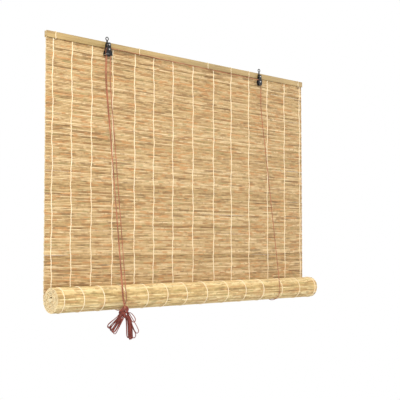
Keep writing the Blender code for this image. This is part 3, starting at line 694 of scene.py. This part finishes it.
def knot_turn(spot, way, side):
    """Half a circle inside the knot, from one loop's end to the next one's start."""
    arcs = [spot + (side * across - way * ahead) * KNOT_TURN
            for across, ahead in ((-0.71, 0.71), (0.0, 1.0), (0.71, 0.71))]
    return [(point.x, 0.0, point.z) for point in arcs]


def single_loop(spot, line, deep):
    """Stops for one loop that stands out alone: a turn inside the knot, then its own line."""
    spot = Vector((spot[0], 0, spot[1]))
    way = (Vector((line[0][0], 0, line[0][1])) - spot).normalized()
    side = Vector((way.z, 0, -way.x))
    leave = spot + side * KNOT_TURN
    return (knot_turn(spot, way, side) + [(leave.x, deep * 0.3, leave.z)]
            + [(x, deep, z) for x, z in line])


def bow(mat):
    """The knotted bunch: both cords folded into loops, tied once, with two cut ends."""
    rng = random.Random(7)
    heart = KNOT + Vector((-0.004, 0, 0.001))
    lay = [trefoil(heart, KNOT_SIZE * 0.5 - Vector((0.001, 0.002, 0.001)), 60, grow, 0.35)
           for grow in (0.55, 0.80, 1.05, 1.30, 1.50)]
    knot = strands("overhand_knot", lay, CORD_RADIUS * 1.15, mat, 2)
    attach(knot, "pull_end")
    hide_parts("pull_knot")

    # Both cords' stops are in millimetres from the knot
    # A flat bunch of loops to the left, whose ends lie along a slant
    left = [(1, 0, 6)]
    for index, deep in enumerate((0, 4, -4, 2, -2, 5, -5, 3, -3)):
        end = Vector((-60 + 19 * index / 8, -37 - 20 * index / 8)) * rng.uniform(0.98, 1.02)
        step = index % 3 - 1
        left += loop_stops([(-6 + 1.7 * step, -3 - 2.0 * step), tuple(end * 0.5), tuple(end)],
                           rng.uniform(5.7, 6.1), deep, index > 0)
    # The left cord's cut end hangs beside the right bunch
    left += [(-2, 0, 4), (5, 0, 6), (11, -1, 0), (14, -2, -12), (16, -3, -30), (17, -3, -50),
             (17, -2, -70), (17, -2, -86)]
    # A narrow bunch to the right
    right = [(2, 1, 6)]
    for index, deep in enumerate((3, -3, 5, 0, -5, 1)):
        lean = 1.5 * index
        start = 5 + 2.0 * (index % 3 - 1)
        right += loop_stops([(start, -5), (11 + lean, -26), (15 + lean, -72 - lean)], 5.3, deep,
                            index > 0)
    # Three single loops that stand out of it, and the right cord's cut end
    small = [(18, -20), (27, -29), (35, -33), (41, -27), (36, -16), (22, -4), (12, -2)]
    middle = [(20, -28), (30, -48), (38, -62), (46, -68), (52, -62), (47, -50), (34, -31),
              (20, -12), (12, -3)]
    long = [(18, -34), (22, -56), (28, -74), (36, -82), (43, -78), (43, -69), (36, -58),
            (26, -40), (18, -20), (12, -4)]
    cut_end = [(15, -30), (20, -55), (22, -84)]
    for line, deep in ((small, -1), (middle, -3), (long, 1), (cut_end, 0)):
        right += single_loop((7, -5), line, deep)
    for name, stops, stands in (("front_cord_bow", left, "left_pull_loops"),
                                ("back_cord_bow", right, "right_pull_loops")):
        route = smooth_route([KNOT + Vector(stop) / 1000 for stop in stops], BOW_STEP)
        piece = strands(name, [route], CORD_RADIUS, mat, 1)
        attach(piece, "pull_end")
        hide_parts(stands)


# ---------------------------------------------------------------- reeds

def cane():
    """One hollow reed along X, 1 m long and 1 m in radius, to be scaled: eight sides."""
    bm = bmesh.new()
    bmesh.ops.create_cone(bm, cap_ends=True, segments=8, radius1=1.0, radius2=1.0, depth=1.0,
                          matrix=Matrix.Rotation(pi / 2, 4, "Y"))
    for x in (-0.32, -0.16, 0.0, 0.16, 0.32):
        bmesh.ops.bisect_plane(bm, geom=bm.verts[:] + bm.edges[:] + bm.faces[:],
                               plane_co=(x, 0, 0), plane_no=(1, 0, 0))
    # Hollow both ends a little
    caps = [f for f in bm.faces if len(f.verts) == 8]
    for cap in caps:
        side = 1 if cap.calc_center_median().x > 0 else -1
        bmesh.ops.inset_region(bm, faces=[cap], thickness=END_RIM)
        pit = bmesh.ops.extrude_discrete_faces(bm, faces=[cap])["faces"][0]
        bmesh.ops.translate(bm, vec=(-side * END_PIT, 0, 0), verts=pit.verts)
    bmesh.ops.recalc_face_normals(bm, faces=bm.faces)
    mesh = bpy.data.meshes.new("cane")
    bm.to_mesh(mesh)
    bm.free()
    return mesh


def heights(rng, total):
    """Reed pitches that fill a length."""
    row = []
    while sum(row) < total:
        row.append(rng.triangular(*REED_PITCH))
    return [height * total / sum(row) for height in row]


def lay_canes(name, places, rng, mat):
    """Canes at (centre, depth direction, depth, height), with their own tone, bend and taper."""
    bm = bmesh.new()
    tone = bm.verts.layers.float.new("reed_tone")
    shift = bm.verts.layers.float.new("reed_shift")
    cut = bm.faces.layers.float.new("reed_cut")
    template = cane()
    for centre, outward, depth, height in places:
        first, first_face = len(bm.verts), len(bm.faces)
        bm.from_mesh(template)
        bm.verts.ensure_lookup_table()
        bm.faces.ensure_lookup_table()
        for face in bm.faces[first_face:]:
            face[cut] = 1.0 if abs(face.normal.x) > 0.7 else 0.0
        across = Vector((0, -outward.z, outward.y))
        length = BLIND_WIDTH - rng.uniform(*REED_SHORT)
        slide = rng.uniform(-REED_SLIDE, REED_SLIDE)
        phase, waves = rng.uniform(0, 2 * pi), rng.uniform(1.0, 3.5)
        sway, tilt = rng.gauss(0, REED_SWAY), rng.gauss(0, REED_TILT)
        taper = rng.uniform(-REED_TAPER, REED_TAPER)
        own_tone, own_shift = rng.random(), rng.uniform(0, 40)
        for vert in bm.verts[first:]:
            x, y, z = vert.co
            size = 1 + taper * x
            bend = sway * sin(phase + waves * pi * x) + tilt * x
            vert.co = (centre + Vector((x * length + slide, 0, 0))
                       + outward * (y * size * depth / 2 + bend * REED_DEPTH_BEND)
                       + across * (z * size * height / 2 + bend))
            vert[tone] = own_tone
            vert[shift] = own_shift
    bpy.data.meshes.remove(template)
    return as_piece(name, bm, mat)


def crossing(middle, outward, height, stand_off):
    """Where a strand lies flat on a reed: its two ends there, the depth direction and the reach."""
    flat = Vector((0, -outward.z, outward.y)) * (height * STRING_FLAT)
    return middle + flat, middle - flat, outward, MAT_DEPTH / 2 + stand_off


def warp_pair(x, crossings, phase, stray):
    """Two strands that swap sides between one reed and the next."""
    pair = []
    for sign in (1, -1):
        route = []
        for index, (first, last, outward, reach) in enumerate(crossings):
            flip = sign * (1 if index % 2 else -1)
            drift = sum(wave * sin(index * rate + phase * share) for wave, rate, share in stray)
            for point, lean in ((first, -STRING_LEAN), (last, STRING_LEAN)):
                aside = x + drift + flip * lean * STRING_RADIUS
                route.append(point + outward * flip * reach + Vector((aside, 0, 0)))
        pair.append(route)
    return pair


def hanging_reeds(mat, string):
    """The mat from the header down to the roll, and its warp strings."""
    rng = random.Random(21)
    top, bottom = HEADER_TOP_Z - GAP, ROLL_Z + GAP
    length = top - bottom
    outward = Vector((0, 1, 0))
    places, crossings = [], []
    z = top
    for height in heights(rng, length):
        middle = Vector((0, MAT_MID_Y, z - height / 2))
        places.append((middle + Vector((BLIND_MID_X, 0, 0)), outward,
                       rng.uniform(*MAT_REED_DEPTH), height * MAT_OVERLAP))
        squeezed = z - height / 2 > HEADER_BOTTOM_Z
        crossings.append(crossing(middle, outward, height, SQUEEZED_STAND_OFF if squeezed
                                  else STRING_RADIUS * MAT_STAND_OFF))
        z -= height
    piece = lay_canes("hanging_reeds", places, rng, mat)
    pliant(piece)
    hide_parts("reed_mat")
    routes = []
    for x in WARP_X:
        routes += warp_pair(x, crossings, rng.uniform(0, 6), MAT_STRAY)
    piece = strands("warp_strings", routes, STRING_RADIUS, string)
    pliant(piece)


def header_ties(string):
    """String ties round the header's two strips."""
    radius = STRING_RADIUS * 0.7
    routes = []
    front, back = HEADER_FRONT_Y - radius * 0.5, HEADER_BACK_Y + radius
    top, low = HEADER_TOP_Z + radius, HEADER_BOTTOM_Z - radius
    for x in HEADER_TIES:
        corners = [(x, back, low - 0.001), (x + 0.001, (front + back) / 2, low), (x, front, low),
                   (x - 0.0006, front, (top + low) / 2), (x, front, top),
                   (x + 0.0008, (front + back) / 2, top), (x, back, top), (x + 0.002, back, low)]
        routes.append(smooth_route(corners, 0.0025))
    piece = strands("header_ties", routes, radius, string)
    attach(piece, "header")


def rolled_reeds(mat, string):
    """The rolled part of the mat: a spiral of reeds, and the warp strings round its last turn."""
    rng = random.Random(5)
    last = ROLL_RADIUS - MAT_DEPTH / 2
    core = ROD_RADIUS + GAP + TURN_PITCH / 2
    places, crossings = [], []
    angle = 0.0
    before = 0.0
    while True:
        height = rng.triangular(*REED_PITCH)
        from_axis = last + TURN_PITCH * angle / (2 * pi)
        if from_axis < core:
            break
        angle -= (before + height) / 2 / from_axis
        before = height
        outward = Vector((0, cos(angle), sin(angle)))
        from_axis = last + TURN_PITCH * angle / (2 * pi)
        middle = Vector((0, ROLL_Y, ROLL_Z)) + outward * from_axis
        places.append((middle + Vector((BLIND_MID_X, 0, 0)), outward,
                       rng.uniform(*ROLL_REED_DEPTH), height * ROLL_OVERLAP))
        if angle > LAST_RING:
            crossings.append(crossing(middle, outward, height, STRING_RADIUS * ROLL_STAND_OFF))
    piece = lay_canes("rolled_reeds", places, rng, mat)
    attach(piece, "roll")
    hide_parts("reed_roll")
    routes = []
    for x in WARP_X:
        routes += warp_pair(x, crossings, rng.uniform(0, 6), ROLL_STRAY)
    piece = strands("roll_strings", routes, STRING_RADIUS, string)
    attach(piece, "roll")


# ---------------------------------------------------------------- the frame's own parts

def dress_frame():
    """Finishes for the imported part's header, brackets and fixings."""
    wood, enamel, zinc, nylon = strip_wood(), black_enamel(), plated_steel(), wheel_nylon()
    dressed = {
        wood: ("header_front_slat", "header_back_slat"),
        rod_wood(): ("bottom_rod",),
        enamel: ("left_back_plate", "left_front_plate", "right_back_plate", "right_front_plate",
                 "left_cord_anchor", "right_cord_anchor", "left_hanging_eye",
                 "right_hanging_eye"),
        nylon: ("left_front_wheel", "left_back_wheel", "right_wheel"),
        zinc: [n for n in nodes if any(word in n for word in (
            "screw", "bolt", "nut", "spacer", "axle", "lock_roller", "lock_post"))],
    }
    for mat, names in dressed.items():
        for name in names:
            slots = nodes[name].data.materials
            slots.clear()
            slots.append(mat)


pale_reed = ((0.32, (0.34, 0.215, 0.095)), (0.44, (0.59, 0.405, 0.19)),
             (0.55, (0.70, 0.505, 0.265)), (0.70, (0.86, 0.67, 0.40)))
pale_deep = {"warm": (0.66, 0.335, 0.13), "olive": (0.42, 0.36, 0.16),
             "stain": (0.24, 0.135, 0.055), "brown": (0.42, 0.235, 0.10),
             "joint": (0.40, 0.26, 0.12), "pith": (0.92, 0.73, 0.42)}
gold_reed = ((0.32, (0.44, 0.30, 0.12)), (0.44, (0.73, 0.53, 0.24)),
             (0.55, (0.86, 0.67, 0.345)), (0.70, (0.98, 0.83, 0.49)))
gold_deep = {"warm": (0.68, 0.39, 0.17), "olive": (0.50, 0.43, 0.17),
             "stain": (0.28, 0.17, 0.065), "brown": (0.50, 0.31, 0.12),
             "joint": (0.45, 0.31, 0.13), "pith": (1.0, 0.81, 0.48)}

studio()
run_twine = twine("terracotta twine",
                  (0.62, 0.25, 0.13), (0.52, 0.185, 0.092), (0.42, 0.135, 0.065))
bow_twine = twine("deep red twine",
                  (0.46, 0.120, 0.075), (0.31, 0.060, 0.040), (0.15, 0.027, 0.019))
lift_cords(run_twine)
pull_cords(run_twine)
bow(bow_twine)
string = cotton()
hanging_reeds(reed_skin("pale reed", pale_reed, pale_deep), string)
header_ties(string)
rolled_reeds(reed_skin("golden reed", gold_reed, gold_deep), string)
dress_frame()
